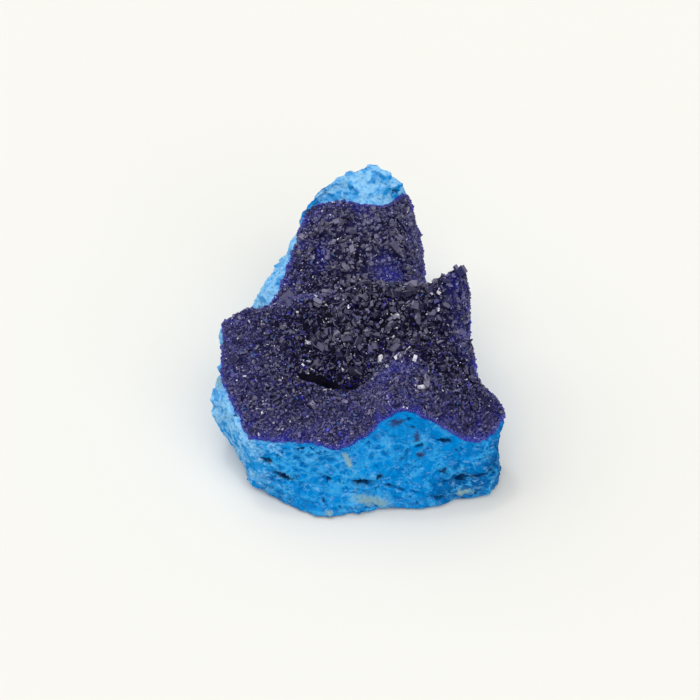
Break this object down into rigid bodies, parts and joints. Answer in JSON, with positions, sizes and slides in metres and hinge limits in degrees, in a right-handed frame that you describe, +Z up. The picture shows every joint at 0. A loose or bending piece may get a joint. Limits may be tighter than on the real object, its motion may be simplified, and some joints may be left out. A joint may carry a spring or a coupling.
{
  "type": "azurite specimen",
  "caption": "Broken lump of pale blue matrix rock, about 7 cm long, with a hollowed upper side under a crust of dark blue azurite crystals.",
  "frame": {"origin": "middle of the footprint box, on the flat that the specimen rests on", "axes": "+Z up, +Y along the specimen's length from the broad broken front face to the far lobe, +X to the right seen from the front"},
  "size_m": [0.0488, 0.0694, 0.0269],
  "materials": {
    "matrix_rock": "earthy pale blue, dull, rough broken faces with pits and powdery patches",
    "azurite_crust": "dark blue-violet crystals with flat vitreous faces"
  },
  "bodies": {
    "root": {"matrix_rock": "matrix_rock", "azurite_crust": "azurite_crust"}
  },
  "joints": []
}
